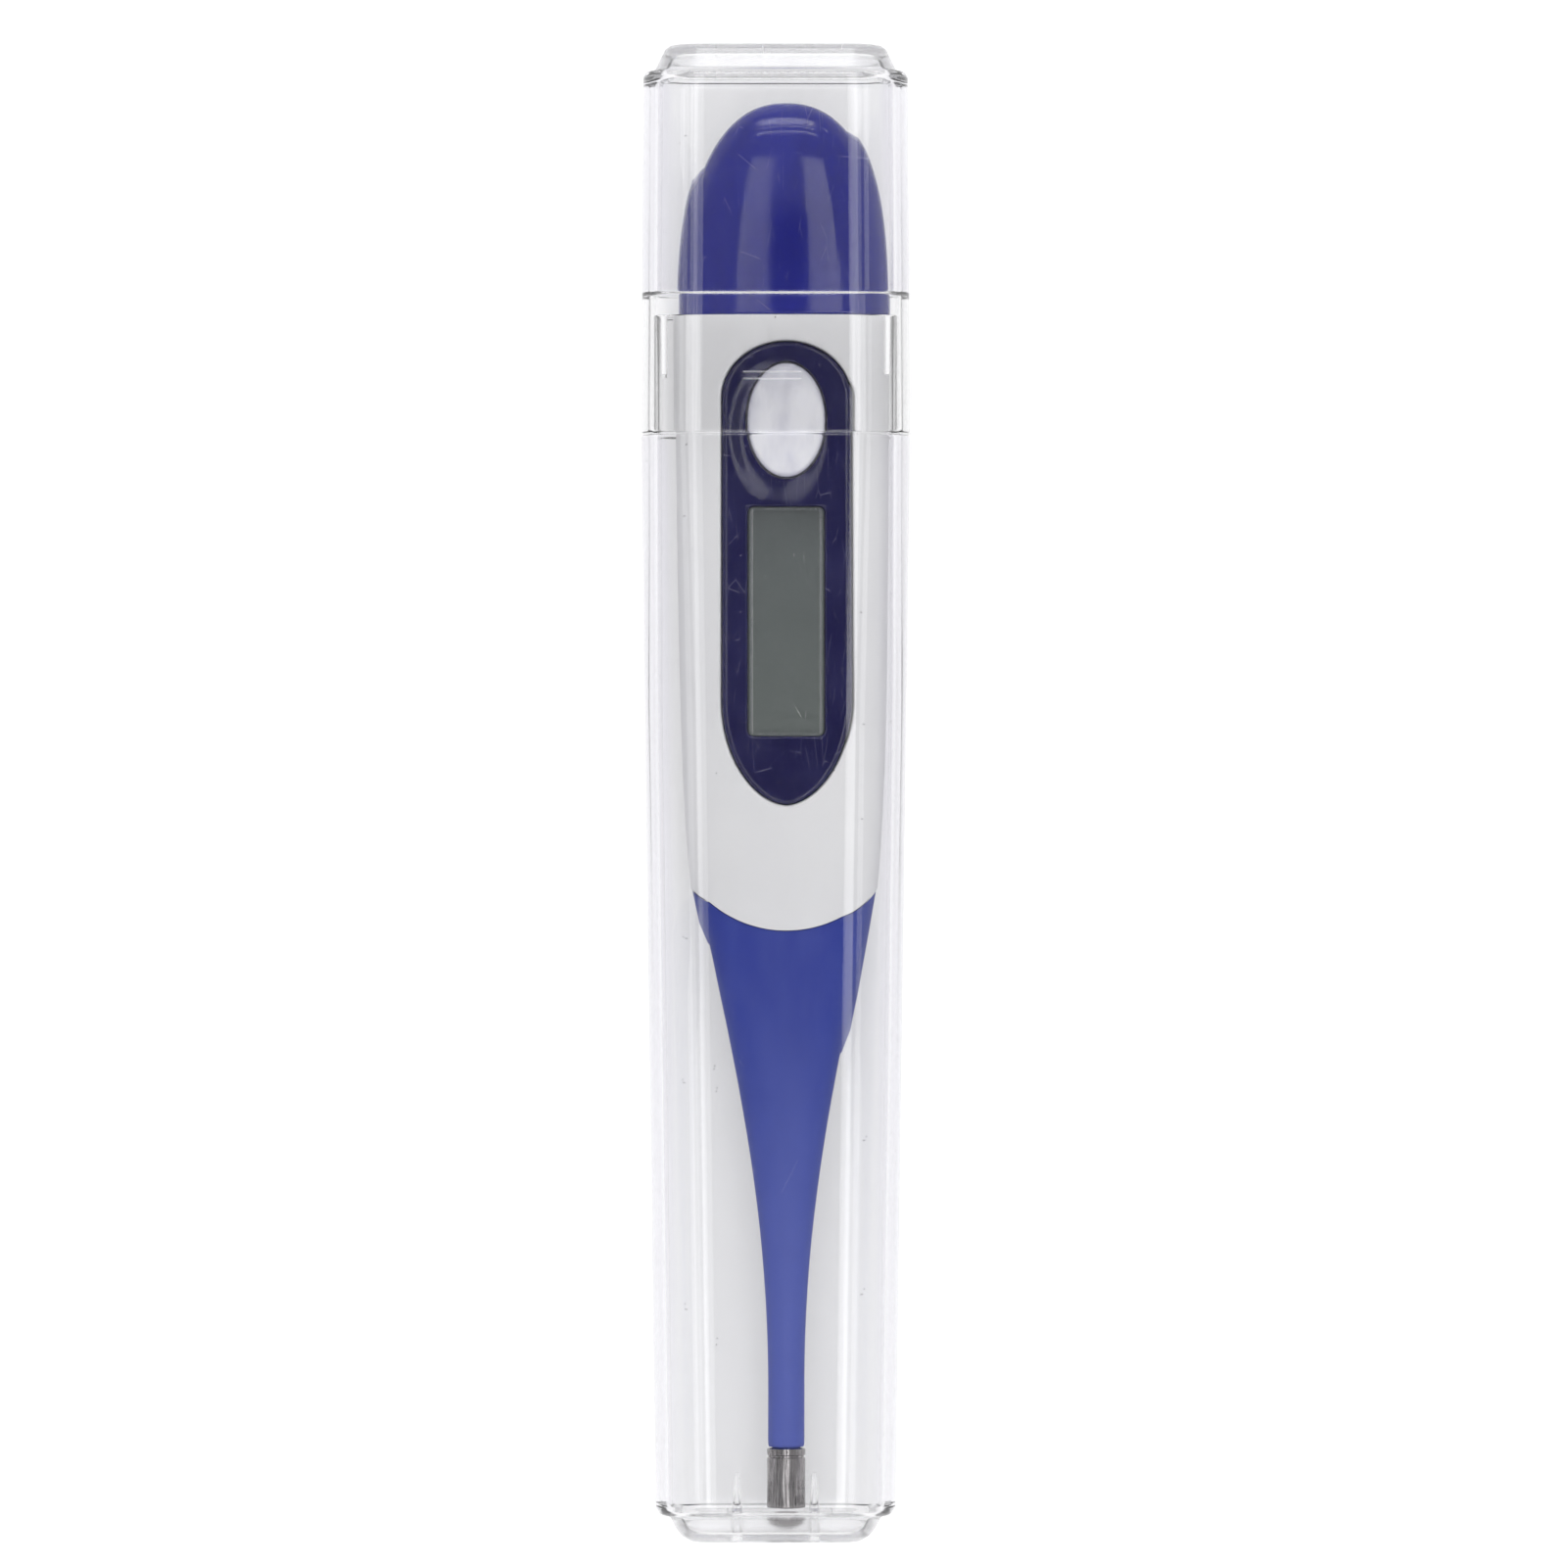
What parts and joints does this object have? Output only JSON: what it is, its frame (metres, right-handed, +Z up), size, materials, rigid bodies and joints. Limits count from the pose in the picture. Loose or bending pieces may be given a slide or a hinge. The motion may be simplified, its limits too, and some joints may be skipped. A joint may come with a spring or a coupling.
{
  "type": "digital thermometer",
  "caption": "Pen-style digital thermometer with a flexible tip, push button and window display, in a clear two-part storage case.",
  "frame": {"origin": "centre of the flat underside of the storage case, which lies on its back", "axes": "+Y along the case towards its cap, +Z up out of the display, +X to the right when looking at the display with the cap on top"},
  "size_m": [0.024, 0.1334, 0.015],
  "materials": {
    "clear_case": "clear polystyrene, glossy, slightly scuffed",
    "white_housing": "white ABS, satin",
    "blue_cover": "royal blue ABS, glossy",
    "blue_stem": "soft thermoplastic rubber, matte",
    "navy_bezel": "navy, glossy",
    "clear_window": "clear acrylic",
    "display": "grey-green, blank",
    "button": "translucent lavender white",
    "steel": "nickel plated",
    "brass": "rolled",
    "board": "green solder mask",
    "black_epoxy": "cured epoxy",
    "ceramic": "fired, silvered",
    "tan_ceramic": "fired",
    "film": "diffuse reflector",
    "elastomer": "silicone with carbon layers",
    "seal_rubber": "nitrile",
    "potting": "amber epoxy",
    "wire_enamel": "enamelled copper"
  },
  "bodies": {
    "case": {"case_body": "clear_case"},
    "thermometer": {"housing": "white_housing", "front_bezel": "navy_bezel", "display_lens": "clear_window", "lcd_panel": "display", "flexible_tip": "blue_stem", "inner_chassis": "white_housing", "circuit_board": "board", "controller_blob": "black_epoxy", "reference_resistor": "black_epoxy", "tuning_capacitor": "tan_ceramic", "supply_capacitor": "tan_ceramic", "switch_dome": "steel", "lcd_reflector": "film", "zebra_strip_left": "elastomer", "zebra_strip_right": "elastomer", "buzzer_plate": "brass", "buzzer_ceramic": "ceramic", "battery_cell": "steel", "battery_contact_positive": "steel", "battery_contact_negative": "steel", "cover_seal": "seal_rubber", "lead_wire_left": "wire_enamel", "lead_wire_right": "wire_enamel"},
    "cover": {"battery_cover": "blue_cover"},
    "cap": {"case_cap": "clear_case"},
    "button": {"power_button": "button"},
    "probe": {"metal_tip": "steel", "thermistor": "black_epoxy", "tip_epoxy": "potting"}
  },
  "joints": [
    {"name": "thermometer_slide", "type": "slide", "parent": "case", "child": "thermometer", "axis": [0, 1, 0], "range_m": [0, 0.112]},
    {"name": "cover_slide", "type": "slide", "parent": "thermometer", "child": "cover", "axis": [0, 1, 0], "range_m": [0, 0.02]},
    {"name": "cap_slide", "type": "slide", "parent": "cover", "child": "cap", "axis": [0, 1, 0], "range_m": [0, 0.032]},
    {"name": "button_press", "type": "slide", "parent": "thermometer", "child": "button", "axis": [0, 0, -1], "range_m": [0, 0.0005], "stiffness_N_per_m": 2000},
    {"name": "tip_bend", "type": "hinge", "parent": "thermometer", "child": "probe", "pos_m": [0.00095, -0.05, 0.007], "axis": [1, 0, 0], "range_deg": [-9, 9], "stiffness_Nm_per_rad": 0.006, "deforming": ["flexible_tip", "lead_wire_left", "lead_wire_right"]}
  ]
}
